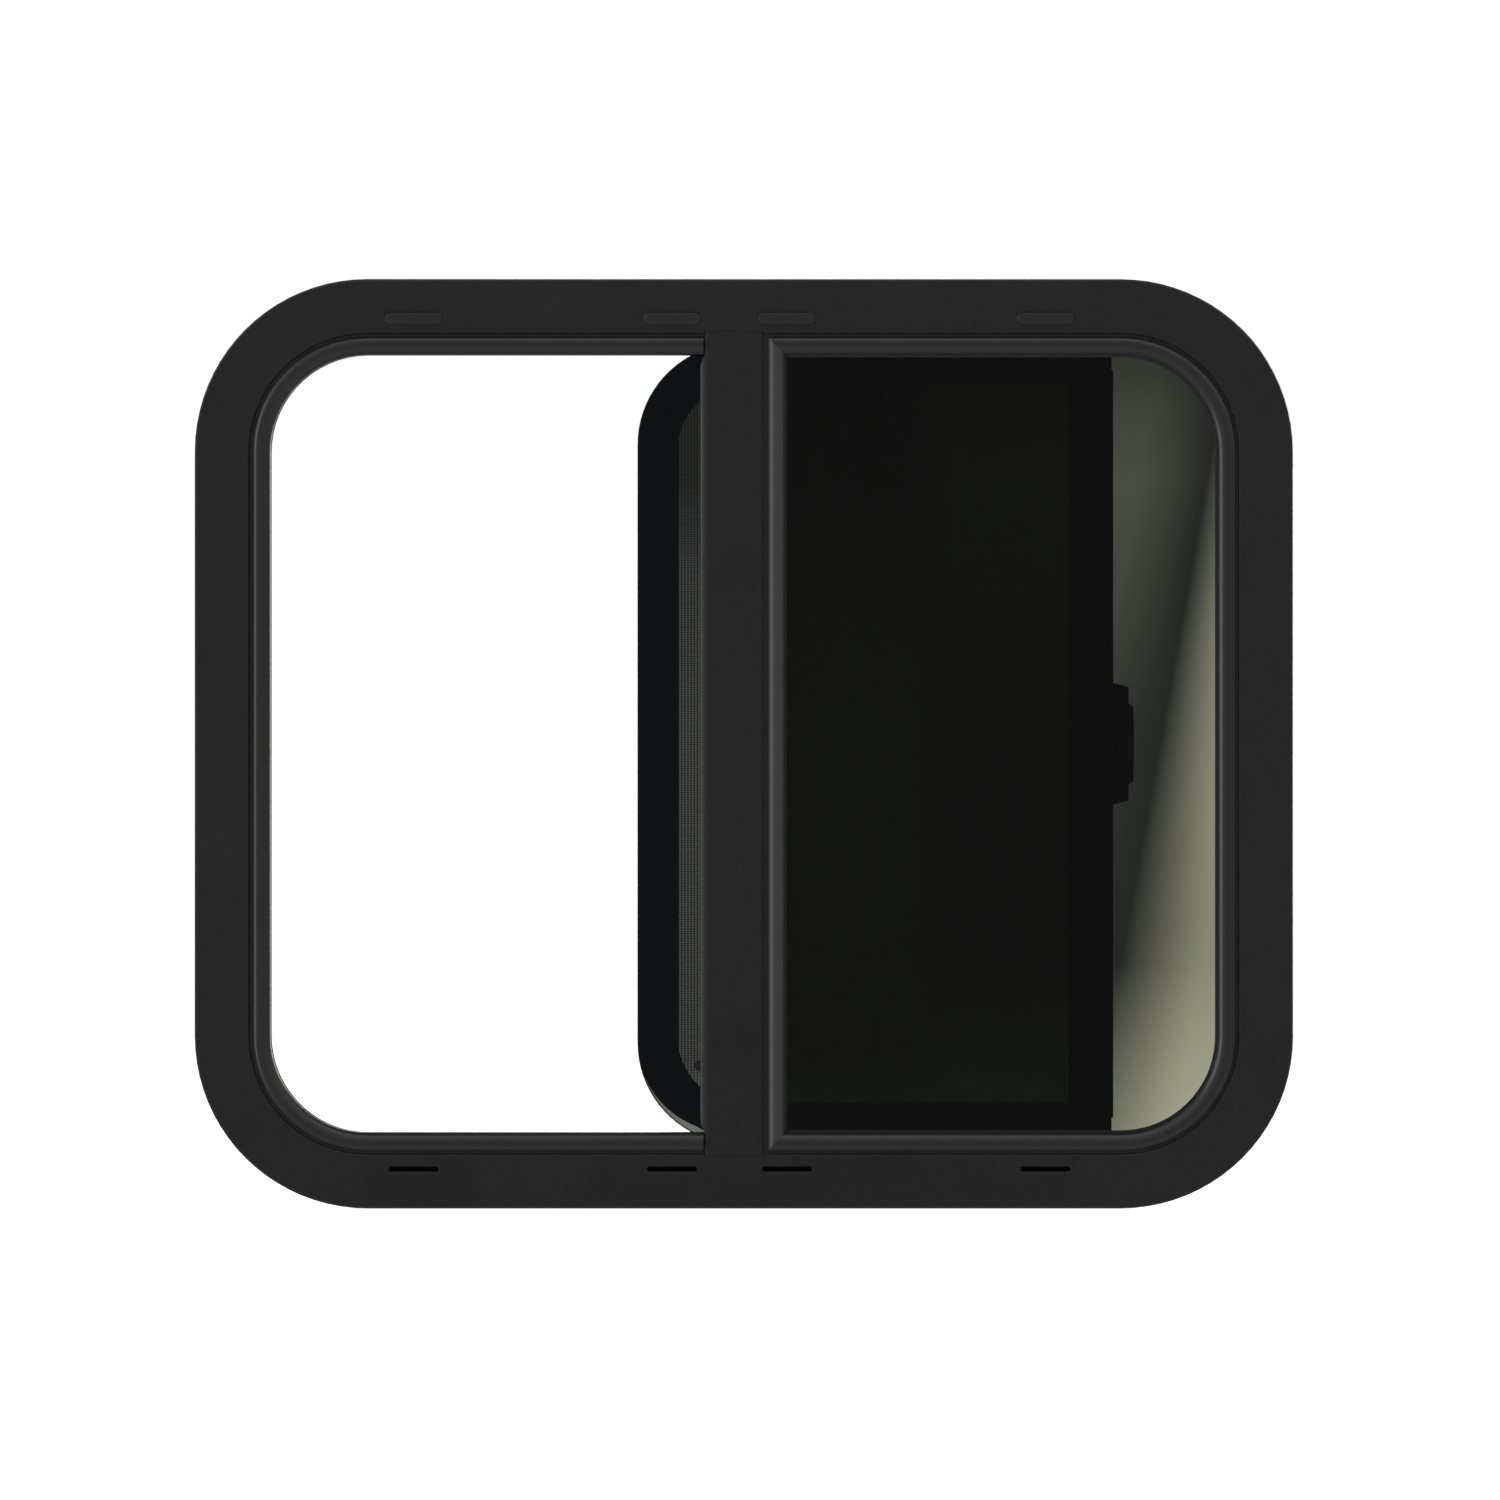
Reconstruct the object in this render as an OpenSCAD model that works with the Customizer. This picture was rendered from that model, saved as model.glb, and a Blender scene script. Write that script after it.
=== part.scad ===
// Half-sliding caravan window: clamped aluminium frame, fixed pane, sliding pane and insect screen
// The window stands in the XZ plane and its outer side looks along -Y.
// The origin is the centre of the window on the flat back of the outer flange, where it lies on the wall.
// Ring-shaped pieces are drawn lying flat: x to the right, y up the window, z out towards the weather.
// The module stand turns that drawing upright, so a depth behind the flange is a negative z there.

/* [Frame] */
// Width over the outer flange
frame_w = 650; // [560:1:760]
// Height over the outer flange
frame_h = 550; // [480:1:640]
// Corner radius of the outer flange
corner_r = 102; // [96:1:130]
// Width of the flat part of the flange
flat_w = 31.6; // [29:0.1:34]
// Thickness of the flange that lies on the wall
flange_t = 3; // [2.6:0.1:4]
// Rounding of the flange's outer rim
rim_r = 1.2; // [0.6:0.1:2]
// Width of the box behind the flange, from its outer wall to the daylight opening
box_w = 26.5; // [25:0.5:29]
// Depth of the frame from the wall's outer face to the trim ring
clamp_t = 42; // [42:1:50]
// Wall of the aluminium section
wall_t = 1.5; // [1.2:0.1:1.7]
// Depth of the channels from the daylight opening to their floor
channel_in = 12; // [11:0.1:12.5]

/* [Bead] */
// Width of the half-round bead round the daylight opening
nose_w = 11; // [10:0.5:12.5]
// Width of the groove between flange and bead
groove_w = 2.4; // [1.8:0.1:3.5]
// Distance from the bead's outer edge to its crown
crown_in = 4.6; // [3:0.1:6]
// Roundness of the bead's outer flank: 1 is a quarter oval, less is squarer
flank_fullness = 0.7; // [0.5:0.05:1]
// Height of the bead's crown over the wall face
crown_h = 5; // [4.4:0.1:6]
// Height of the groove's floor over the wall face
groove_h = 1.6; // [1:0.1:2]
// Width of the soft shoulder from the flange down into the groove
shoulder_w = 1.2; // [0.8:0.1:1.6]

/* [Drainage] */
// Distance from the box's outer wall to the middle of the slots
slot_off = 4.9; // [4:0.1:6]
// Length of a slot
slot_l = 29.6; // [20:0.1:34]
// Width of a slot
slot_w = 3; // [2:0.1:4]
// Distance of the inner pair of slots from the middle
slot_near = 34; // [30:1:60]
// Distance of the outer pair of slots from the middle
slot_far = 187; // [160:1:200]
// Shift of the slot row to the left
slot_shift = 8.6; // [0:0.1:12]
// Rim of a slot cap past its slot, at the ends and at the sides
cap_rim = 2.4; // [1.5:0.1:2.8]
// Thickness of a slot cap
cap_t = 1.2; // [0.8:0.1:2]

/* [Glass] */
// Thickness of both panes
glass_t = 4; // [3:0.5:4]
// Depth that an edge of glass reaches into its channel
glass_bite = 6; // [5:0.5:8]
// Thickness of the rubber between bead and fixed pane
gasket_t = 2; // [1.5:0.1:2.5]
// Rubber that shows past the bead
gasket_show = 1.2; // [0.8:0.1:2]

/* [Mullion] */
// Left edge of the mullion's flat face
mullion_left = -23.1; // [-26:0.1:-20]
// Right edge of the mullion's flat face
mullion_right = 11.2; // [9:0.1:13]
// Width of the thin joint beside the mullion's bead
mullion_groove = 2.8; // [1:0.1:3]
// Width of the mullion's bead
mullion_bead_w = 9.9; // [9:0.1:12]
// Step of the mullion's side past its flat face
mullion_step = 2.6; // [1:0.1:4]
// Width of the curved strip down the mullion's left side
mullion_round = 7; // [4:0.1:9]
// Fall of that strip from the flat face to the left edge
mullion_fall = 1.2; // [0.6:0.1:2]
// Height of the curve at either end of the mullion's left side
cope_l = 8.5; // [4:0.5:12]
// Rounding of the face's right edge, beside the joint
mullion_edge_r = 0.6; // [0.3:0.1:0.8]

/* [Sliding pane] */
// How far the fully open pane stands out to the left of the mullion
sash_show = 37.4; // [25:0.1:60]
// Distance of the shut pane's trailing edge left of the window's middle
sash_meet = 5.2; // [3:0.1:8]
// How much higher and lower the sliding pane reaches than the fixed one
sash_more = 1.2; // [0:0.1:1.5]
// Depth of the pane's front face behind the wall face
sash_d = 13; // [12.9:0.1:14]
// How much tighter the pane's leading corners are than the channel they shut into
sash_r_less = 3; // [2:0.5:8]
// Right edge of the printed band along the leading edge
print_w = 24.3; // [20:0.1:30]
// Width of the printed band along the trailing edge
print_right_w = 25.8; // [20:0.1:30]
// Height of the printed border's lower edge over the pane's bottom edge
print_foot = 7; // [0:0.5:9]
// How much tighter the border's lower outer corner is rounded than the pane's
print_out_less = 6; // [0:0.5:10]
// How much tighter the printed band's inner corners are rounded than the pane's
print_r_less = 24; // [18:1:30]
// Height of the printed band along the top and bottom edges
print_h = 24.6; // [18:0.1:28]
// Thickness of the fired print
print_t = 0.25; // [0.2:0.05:0.4]
// Distance of the trailing edge's stile from the pane's corners
stile_in = 15.8; // [12:0.1:30]

/* [Latch] */
// Half the height of the latch base at the stile
base_half = 36.1; // [32:0.1:45]
// Slant of the base's ends
base_slant = 2.4; // [0:0.1:6]
// Reach of the base past the pane's edge
base_reach = 10.2; // [8:0.1:11]
// Half the height of the lever
lever_half = 23.7; // [22:0.1:25]
// Reach of the lever past the base
lever_reach = 3; // [3:0.1:6]
// Diameter of the lever's pin
pin_d = 2.4; // [2:0.1:3]
// Length of the room round the pin for each of the two springs
spring_l = 4.6; // [4:0.1:5.4]
// Distance of each spring's middle from the middle of the lever
spring_z = 19; // [14:0.1:19]

/* [Insect screen] */
// Width of the screen frame's bars
screen_bar = 20; // [16:0.5:22]
// Thickness of the screen frame
screen_t = 6; // [5:0.5:6.5]
// Left edge of the screen when it is fully open, measured from the pane's left edge
screen_in = 2.6; // [1:0.1:8]
// Thickness of the woven sheet
mesh_t = 0.5; // [0.4:0.1:1]
// How much wider the screen's leading corners are rounded than the pane's
screen_r_more = 8; // [0:0.5:9]
// Width of the step in the bars that the mesh lies on
screen_step = 8; // [6:0.5:12]
// Width of the rubber cord that holds the mesh
spline_w = 4; // [3:0.5:5]

/* [Interior trim] */
// Thickness of the clamped trim ring
trim_t = 2.5; // [2:0.1:4]
// How far the trim ring stays inside the flange's outline
trim_in = 1; // [0:0.5:4]
// Rounding of the trim ring's edges on the room side
trim_r = 1.4; // [0.6:0.1:1.8]

/* [Hidden] */
$fn = 64;
run_gap = 0.3;
seat_gap = 0.1;
bead_steps = 8;
lip_back = 0.5;
half_w = frame_w / 2;
half_h = frame_h / 2;
groove_u = flat_w;
nose_u = groove_u + groove_w;
face_w = nose_u + nose_w;
key_u = nose_u + nose_w / 3;
key_w = 4;
key_h = 2;
flange_lap = face_w - box_w;
slot_in = flange_lap + slot_off;
floor_u = face_w - channel_in;
rib_t = 1.5;
pane_d = lip_back + gasket_t;
rib_front_d = pane_d + glass_t + 1.5;
rear_lip_t = 2;
rib_front_u = face_w - 1;
rib_back_u = face_w - 2.5;
rear_lip_u = face_w - 1.5;
rear_d = clamp_t - rear_lip_t;
rib_back_d = rear_d - screen_t - 4.2;
pane_u = face_w - glass_bite;
floor_x = half_w - floor_u;
floor_y = half_h - floor_u;
opening_y = half_h - face_w;
plate_y = half_h - groove_u + 2 * run_gap;
mullion_back_d = rib_front_d + rib_t;
bead_x = mullion_right + mullion_groove;
bead_end_x = bead_x + mullion_bead_w;
bead_slope = mullion_bead_w / nose_w;
bead_crown = 0.45 * mullion_bead_w;
web_x = mullion_right - 3.2;
glass_x = web_x + 1.5;
rear_x = mullion_right + 4.8;
lip_x = bead_end_x - 1.2;
plate_t = flange_t - 0.6;
drain_l = 8;
drain_w = 3;
drain_run = 9;
slot_x = [-slot_far - slot_shift, -slot_near - slot_shift, slot_near - slot_shift, slot_far - slot_shift];
mullion_side = mullion_left - mullion_step;
sash_left = mullion_side - sash_show;
sash_travel = half_w - pane_u + sash_left;
sash_right = sash_travel - sash_meet;
sash_half = half_h - pane_u + sash_more;
sash_r = corner_r - pane_u - sash_r_less;
print_in_r = sash_r - print_r_less;
stile_half = sash_half - stile_in;
sash_back_d = sash_d + glass_t;
stile_t = 1;
stile_front_t = 0.8;
stile_lap = 12.8;
stile_show = 1;
stile_x = sash_right + stile_t;
stile_back_d = sash_back_d + print_t + stile_t;
base_t = 1.6;
base_x = sash_right + base_reach;
base_left = sash_right - stile_lap;
pin_x = sash_right + 3.2;
spring_room = pin_d / 2 + 1.2;
spring_window = 1.5;
grip_ribs = 3;
grip_start = 3.2;
grip_pitch = 2;
grip_r = 0.5;
grip_half = 12;
barrel_r = 2.2;
pin_y = stile_back_d + base_t + barrel_r + run_gap;
knuckle_l = 4;
lever_x = base_x + lever_reach;
lever_t = 2;
hook_w = 3;
hook_tip_d = mullion_back_d + seat_gap * 5;
keeper_h = 2.1;
keeper_w = 4;
keeper_half = 15;
keeper_x = lever_x - sash_travel + 0.4;
screen_left = sash_left + screen_in;
screen_r = sash_r + screen_r_more;
screen_right = sash_right;
screen_d = rib_back_d + rib_t + 0.9;
pull_half = 30;
pull_w = 9;
pull_h = 7;
pull_t = 1.6;
glide_l = 32;
glide_inset = 40;
track_t = 1.5;
track_wall = 2;
track_slack = 0.8;
track_left = -half_w + corner_r;
track_right = stile_x + 14;
button_r = 3.5;
button_in = 39.3;
button_z = button_in - opening_y;
pile_w = 6;
pile_x = mullion_left + 2;
stop_l = 14;
spigot_l = 26;
seal_w = 6;
seal_half = half_h - corner_r - 8;

// Colours as the photograph shows them
frame_black = [0.13, 0.13, 0.14];
rubber_black = [0.05, 0.05, 0.05];
print_black = [0.04, 0.05, 0.05];
tint = [0.24, 0.27, 0.25, 0.75];
mesh_grey = [0.2, 0.2, 0.2];
steel = [0.75, 0.75, 0.76];

// Turns a drawing that lies flat upright, with its top side towards the weather
module stand() {
  rotate([90, 0, 0]) children();
}

// Rounded rectangle that lies a distance u inside the flange's outer edge
module outline(u) {
  r = corner_r - u;
  w = half_w - u;
  h = half_h - u;
  union() {
    square([2 * (w - r), 2 * h], center = true);
    square([2 * w, 2 * (h - r)], center = true);
    for (sx = [-1, 1], sy = [-1, 1]) {
      translate([sx * (w - r), sy * (h - r)]) circle(r = r);
    }
  }
}

// Sweeps a section drawn as (distance inside the flange's edge, height) round the whole frame
module ring_sweep() {
  long = half_w - corner_r;
  tall = half_h - corner_r;
  for (side = [0, 1]) {
    rotate([0, 0, 180 * side]) {
      translate([half_w, tall, 0]) rotate([90, 0, 0]) linear_extrude(2 * tall) mirror([1, 0]) children();
      rotate([0, 0, 90]) {
        translate([half_h, long, 0]) rotate([90, 0, 0]) linear_extrude(2 * long) mirror([1, 0]) children();
      }
      translate([long, tall, 0]) {
        rotate_extrude(angle = 90) translate([corner_r, 0]) mirror([1, 0]) children();
      }
      translate([-long, tall, 0]) rotate([0, 0, 90]) {
        rotate_extrude(angle = 90) translate([corner_r, 0]) mirror([1, 0]) children();
      }
    }
  }
}

// Points of a bead's rounded top, from its outer foot over the crown to its inner edge.
// A fullness of 1 makes the outer flank a plain quarter oval, a smaller one makes it squarer.
function bead_top(start, width, crown, foot_h, end_h, fullness) = concat(
  [for (i = [0:bead_steps]) [
    start + crown * (1 - pow(cos(90 * i / bead_steps), fullness)),
    foot_h + (crown_h - foot_h) * pow(sin(90 * i / bead_steps), fullness)
  ]],
  [for (i = [1:bead_steps]) [
    start + crown + (width - crown) * sin(90 * i / bead_steps),
    end_h + (crown_h - end_h) * cos(90 * i / bead_steps)
  ]]
);

// Point of the soft S-shaped shoulder from the flange's flat down to the groove's floor
function shoulder_point(t) = [
  groove_u + shoulder_w * t,
  groove_h + (flange_t - groove_h) * (1 + cos(180 * t)) / 2
];

// Section of the frame: flange, groove, bead, glass channel, pane channel and screen channel
module frame_section() {
  rim = [for (i = [0:4]) [rim_r - rim_r * cos(22.5 * i), flange_t - rim_r + rim_r * sin(22.5 * i)]];
  front = concat(
    [[0, 0]], rim,
    [for (i = [0:bead_steps]) shoulder_point(i / bead_steps)],
    bead_top(nose_u, nose_w, crown_in, groove_h, groove_h, flank_fullness)
  );
  back = [
    [face_w, -lip_back],
    [key_u + key_w, -lip_back], [key_u + key_w, key_h - lip_back],
    [key_u, key_h - lip_back], [key_u, -lip_back],
    [floor_u, -lip_back],
    [floor_u, -rib_front_d], [rib_front_u, -rib_front_d],
    [rib_front_u, -rib_front_d - rib_t], [floor_u, -rib_front_d - rib_t],
    [floor_u, -rib_back_d], [rib_back_u, -rib_back_d],
    [rib_back_u, -rib_back_d - rib_t], [floor_u, -rib_back_d - rib_t],
    [floor_u, -rear_d], [rear_lip_u, -rear_d], [rear_lip_u, -clamp_t],
    [flange_lap, -clamp_t], [flange_lap, 0]
  ];
  difference() {
    polygon(concat(front, back));
    translate([flange_lap + wall_t, wall_t - clamp_t]) {
      square([floor_u - flange_lap - 2 * wall_t, clamp_t - 2 * wall_t + lip_back]);
    }
  }
}

// One drainage slot, drawn lying flat
module slot_shape(rim) {
  l = slot_l + 2 * rim;
  w = slot_w + 2 * rim;
  union() {
    square([l - w, w], center = true);
    for (s = [-1, 1]) {
      translate([s * (l - w) / 2, 0]) circle(d = w);
    }
  }
}

// The place in the bead ring that the mullion's face passes through, at the top
module plate_gate() {
  left = mullion_left - 0.9;
  past = 1;
  translate([left, opening_y - past]) {
    square([mullion_right + seat_gap - left, plate_y + 2 * seat_gap - opening_y + past]);
  }
}

// The place in the bead ring that the mullion's groove and bead pass through, at the top
module bead_gate() {
  past = 1;
  low_y = opening_y - past;
  polygon([
    [mullion_right, low_y], [mullion_right, half_h - nose_u], [bead_x, half_h - nose_u],
    [bead_x + (nose_w + past) * bead_slope, low_y]
  ]);
}

// Hole through the floor of a channel, by which water reaches the box behind the slots
module drain_hole(x, depth) {
  translate([x - drain_l / 2, floor_y - wall_t, -depth - drain_w]) cube([drain_l, 3 * wall_t, drain_w]);
}

module outer_frame() {
  color(frame_black) stand() difference() {
    ring_sweep() frame_section();
    for (side = [-1, 1]) {
      for (x = slot_x) {
        translate([x, side * (half_h - slot_in), -lip_back - wall_t]) {
          linear_extrude(flange_t + 2 * wall_t) slot_shape(0);
        }
      }
      mirror([0, side > 0 ? 0 : 1]) {
        translate([0, 0, flange_t - plate_t]) linear_extrude(crown_h) plate_gate();
        translate([0, 0, groove_h]) linear_extrude(crown_h) bead_gate();
      }
    }
    for (x = slot_x) {
      mirror([0, 1]) {
        drain_hole(x, (lip_back + rib_front_d - drain_w) / 2);
        drain_hole(x, (mullion_back_d + rib_back_d - drain_w) / 2);
      }
    }
  }
}

// Half of the section across a slot cap, flat with a rounded edge
module cap_half_section() {
  flat_x = slot_w / 2 + cap_rim - cap_t;
  polygon(concat(
    [[0, 0]],
    [for (i = [0:bead_steps]) [
      flat_x + cap_t * cos(90 * i / bead_steps),
      cap_t * sin(90 * i / bead_steps)
    ]],
    [[0, cap_t]]
  ));
}

module slot_cap(i) {
  straight = slot_l - slot_w;
  color(frame_black) stand() {
    translate([slot_x[i], half_h - slot_in, flange_t]) union() {
      translate([-straight / 2, 0, 0]) rotate([90, 0, 90]) {
        linear_extrude(straight) union() {
          cap_half_section();
          mirror([1, 0]) cap_half_section();
        }
      }
      for (side = [0, 1]) {
        rotate([0, 0, 180 * side]) translate([straight / 2, 0, 0]) rotate([0, 0, -90]) {
          rotate_extrude(angle = 180) cap_half_section();
        }
      }
      translate([0, 0, -plate_t]) linear_extrude(plate_t) slot_shape(-seat_gap);
    }
  }
}

module slot_cap_1() { slot_cap(0); }
module slot_cap_2() { slot_cap(1); }
module slot_cap_3() { slot_cap(2); }
module slot_cap_4() { slot_cap(3); }

// Rounded corner of the trim ring's section at the edge u, turned inwards by way
function trim_corner(u, back, way) = [
  for (i = [0:bead_steps]) [
    u + way * trim_r * (1 - cos(90 * i / bead_steps)),
    back + trim_r * (1 - sin(90 * i / bead_steps))
  ]
];

// Ring on the inside of the wall, screwed to the back of the frame
module trim_ring() {
  pad = 0.5;
  leg = 1;
  back = -clamp_t - trim_t;
  inner_u = rear_lip_u + leg;
  color(frame_black) stand() ring_sweep() polygon(concat(
    [[trim_in, pad - clamp_t]],
    trim_corner(trim_in, back, 1),
    [for (i = [bead_steps:-1:0]) trim_corner(inner_u, back, -1)[i]],
    [[inner_u, rear_lip_t - clamp_t], [rear_lip_u, rear_lip_t - clamp_t], [rear_lip_u, -clamp_t],
     [flange_lap - pad, -clamp_t], [flange_lap - pad, pad - clamp_t]]
  ));
}

module mullion_section() {
  difference() {
    polygon([
      [mullion_side, -mullion_back_d],
      for (i = [0:bead_steps]) [
        mullion_side + mullion_round * i / bead_steps,
        flange_t - mullion_fall * pow(1 - i / bead_steps, 2)
      ],
      for (i = [0:bead_steps]) [
        mullion_right - mullion_edge_r * (1 - sin(90 * i / bead_steps)),
        flange_t - mullion_edge_r * (1 - cos(90 * i / bead_steps))
      ],
      [mullion_right, groove_h],
      [lip_x, groove_h], [lip_x, -lip_back], [web_x, -lip_back],
      [web_x, -rib_front_d], [rear_x, -rib_front_d], [rear_x, -mullion_back_d]
    ]);
    translate([mullion_side + wall_t, -mullion_back_d + wall_t]) {
      square([web_x - mullion_side - 2 * wall_t, mullion_back_d - 1.1 * wall_t]);
    }
  }
}

// What is cut off the mullion's left side at the top, so that it curves clear of the bead ring
module mullion_cope() {
  past = 1;
  polygon(concat(
    [[mullion_side - past, opening_y - cope_l], [mullion_side - past, opening_y + past],
     [mullion_left, opening_y + past]],
    [for (i = [0:bead_steps]) [
      mullion_left - mullion_step * (1 - pow(1 - i / bead_steps, 2)),
      opening_y - cope_l * i / bead_steps
    ]]
  ));
}

module mullion() {
  face_t = plate_t - lip_back;
  color(frame_black) stand() {
    translate([0, plate_y, 0]) rotate([90, 0, 0]) linear_extrude(2 * plate_y) intersection() {
      mullion_section();
      translate([mullion_left, flange_t - face_t]) square([mullion_right - mullion_left, face_t]);
    }
    difference() {
      translate([0, opening_y, 0]) rotate([90, 0, 0]) linear_extrude(2 * opening_y) mullion_section();
      for (side = [0, 1]) {
        mirror([0, side]) translate([0, 0, -clamp_t]) linear_extrude(2 * clamp_t) mullion_cope();
      }
    }
  }
}

module mullion_bead() {
  low = half_h - nose_u;
  color(frame_black) stand() intersection() {
    translate([0, low, 0]) rotate([90, 0, 0]) linear_extrude(2 * low) {
      polygon(bead_top(bead_x, mullion_bead_w, bead_crown, groove_h, groove_h, 1));
    }
    translate([0, 0, groove_h]) linear_extrude(crown_h) {
      polygon([[bead_x, low], [bead_end_x, opening_y], [bead_end_x, -opening_y], [bead_x, -low]]);
    }
  }
}

// Plug that joins an end of the mullion to the floor of the glass channel
module mullion_spigot() {
  left = mullion_left + seat_gap;
  wide = web_x - wall_t - seat_gap - left;
  color("dimgray") stand() {
    translate([left, floor_y - spigot_l, -rib_front_d + seat_gap]) {
      cube([wide, spigot_l, rib_front_d - lip_back - 2 * seat_gap]);
    }
  }
}

module mullion_spigot_top() { mullion_spigot(); }
module mullion_spigot_bottom() { mirror([0, 0, 1]) mullion_spigot(); }

module mullion_pile() {
  color(rubber_black) stand() {
    translate([pile_x, -opening_y + 1, -mullion_back_d - 0.8]) cube([pile_w, 2 * opening_y - 2, 0.8]);
    translate([pile_x + 1, -opening_y + 1, -sash_d + run_gap]) {
      cube([pile_w - 2, 2 * opening_y - 2, sash_d - run_gap - mullion_back_d - 0.8]);
    }
  }
}

// Nylon button on the mullion's back that keeps the sliding pane off it
module mullion_button() {
  color(frame_black) translate([mullion_side - 0.2, mullion_back_d, button_z]) rotate([-90, 0, 0]) {
    cylinder(r = button_r, h = sash_d - run_gap - mullion_back_d);
  }
}

// Catch on the mullion's back, with a ramp that the lever's hook rides up
module latch_keeper() {
  ramp = 1.4;
  color(steel) translate([keeper_x, mullion_back_d, -keeper_half]) linear_extrude(2 * keeper_half) polygon([
    [0, 0], [keeper_w, 0], [keeper_w, keeper_h - ramp], [keeper_w - ramp, keeper_h], [0, keeper_h]
  ]);
}

// Fixed pane, cut square at the mullion and round at the outer corners
module right_of(x) {
  intersection() {
    children();
    translate([x, -half_h]) square([half_w - x, 2 * half_h]);
  }
}

module fixed_glass() {
  color(tint) stand() translate([0, 0, -pane_d - glass_t]) linear_extrude(glass_t) {
    right_of(glass_x) outline(pane_u);
  }
}

module pane_band(u_out, u_in, x_out, x_in) {
  difference() {
    right_of(x_out) outline(u_out);
    right_of(x_in) outline(u_in);
  }
}

// Rubber round the fixed pane, with a tongue that keys it into the back of the bead
module fixed_glass_gasket() {
  color(rubber_black) stand() union() {
    translate([0, 0, -pane_d]) linear_extrude(gasket_t) {
      pane_band(floor_u + 1, face_w + gasket_show, glass_x + seat_gap, bead_end_x + gasket_show);
    }
    translate([0, 0, -lip_back]) linear_extrude(key_h - seat_gap) right_of(bead_end_x + 1) difference() {
      outline(key_u + seat_gap);
      outline(key_u + key_w - seat_gap);
    }
  }
}

module fixed_glass_wedge() {
  thick = rib_front_d - pane_d - glass_t;
  color(rubber_black) stand() translate([0, 0, -rib_front_d]) linear_extrude(thick) {
    pane_band(floor_u + 1, face_w, glass_x + seat_gap, rear_x);
  }
}

// Keeps what is drawn in the pane channel inside the channel's rounded floor
module in_channel() {
  intersection() {
    children();
    stand() translate([0, 0, -rib_back_d]) linear_extrude(rib_back_d) outline(floor_u + seat_gap / 2);
  }
}

// Plastic guide in the bottom of the pane channel, with a groove for the pane's edge
module track() {
  groove_y = sash_d - track_slack;
  groove_end = sash_back_d + print_t + track_slack;
  deep = rib_back_d - mullion_back_d - 2 * seat_gap;
  color("dimgray") in_channel() translate([track_left, 0, 0]) rotate([90, 0, 90]) {
    linear_extrude(track_right - track_left) polygon([
      [mullion_back_d + seat_gap, -floor_y], [mullion_back_d + seat_gap, -opening_y - 1],
      [groove_y, -opening_y - 1], [groove_y, -floor_y + track_t],
      [groove_end, -floor_y + track_t], [groove_end, -opening_y - 1],
      [groove_end + track_wall, -opening_y - 1], [groove_end + track_wall, -floor_y + track_t],
      [mullion_back_d + deep, -floor_y + track_t], [mullion_back_d + deep, -floor_y]
    ]);
  }
}

// The bottom guide has notches that let water pass to the drain holes
module bottom_track() {
  difference() {
    track();
    for (x = slot_x) {
      translate([x - drain_l / 2, sash_d, -floor_y - 1]) cube([drain_l, drain_run, 1 + 2 * track_t]);
    }
  }
}

module top_track() { mirror([0, 0, 1]) track(); }

module track_stop() {
  wide = glass_t + print_t + 2 * track_slack - 2 * seat_gap;
  color(rubber_black) in_channel() {
    translate([track_right - stop_l + run_gap, sash_d - track_slack + seat_gap, -floor_y + track_t]) {
      cube([stop_l - run_gap, wide, floor_y - opening_y - track_t - 1]);
    }
  }
}

module track_stop_bottom() { track_stop(); }
module track_stop_top() { mirror([0, 0, 1]) track_stop(); }

// Seal with a round nose in the left channel that the pane's leading edge shuts against
module jamb_seal() {
  deep = glass_bite - 1 - run_gap;
  color(rubber_black) translate([-floor_x, sash_d + glass_t / 2, -seal_half]) {
    linear_extrude(2 * seal_half) union() {
      translate([0, -seal_w / 2]) square([deep - seal_w / 2, seal_w]);
      intersection() {
        translate([deep - seal_w / 2, 0]) circle(d = seal_w);
        translate([0, -seal_w]) square([deep, 2 * seal_w]);
      }
    }
  }
}

// Outline of a pane with two round leading corners and two square trailing ones
module pane_shape(left, right, half, r) {
  union() {
    translate([left + r, -half]) square([right - left - r, 2 * half]);
    translate([left, r - half]) square([2 * r, 2 * (half - r)]);
    for (s = [-1, 1]) {
      translate([left + r, s * (half - r)]) circle(r = r);
    }
  }
}

module sash_glass() {
  color(tint) stand() translate([0, 0, -sash_back_d]) linear_extrude(glass_t) {
    pane_shape(sash_left, sash_right, sash_half, sash_r);
  }
}

module sash_print() {
  print_half = sash_half - print_h;
  color(print_black) stand() translate([0, 0, -sash_back_d - print_t]) linear_extrude(print_t) {
    difference() {
      intersection() {
        pane_shape(sash_left, sash_right, sash_half, sash_r);
        translate([0, print_foot]) pane_shape(sash_left, sash_right, sash_half, sash_r - print_out_less);
      }
      pane_shape(sash_left + print_w, sash_right - print_right_w, print_half, print_in_r);
    }
  }
}

// Slim edge profile that clips round the trailing edge and carries the latch
module sash_stile() {
  color(frame_black) translate([0, 0, -stile_half]) linear_extrude(2 * stile_half) difference() {
    union() {
      translate([sash_right - stile_show, sash_d - stile_front_t]) {
        square([stile_show + stile_t, stile_back_d - sash_d + stile_front_t]);
      }
      translate([base_left, stile_back_d - stile_t]) square([stile_lap + stile_t, stile_t]);
    }
    translate([sash_right - stile_lap, sash_d]) square([stile_lap, glass_t + print_t]);
  }
}

module pane_glide(x) {
  color("white") translate([x, sash_d, -floor_y + track_t + run_gap]) {
    cube([glide_l, glass_t, floor_y - sash_half - track_t - run_gap]);
  }
}

module sash_glide_left() { pane_glide(sash_left + sash_r); }
module sash_glide_right() { pane_glide(sash_right - glide_inset - glide_l); }

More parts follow.
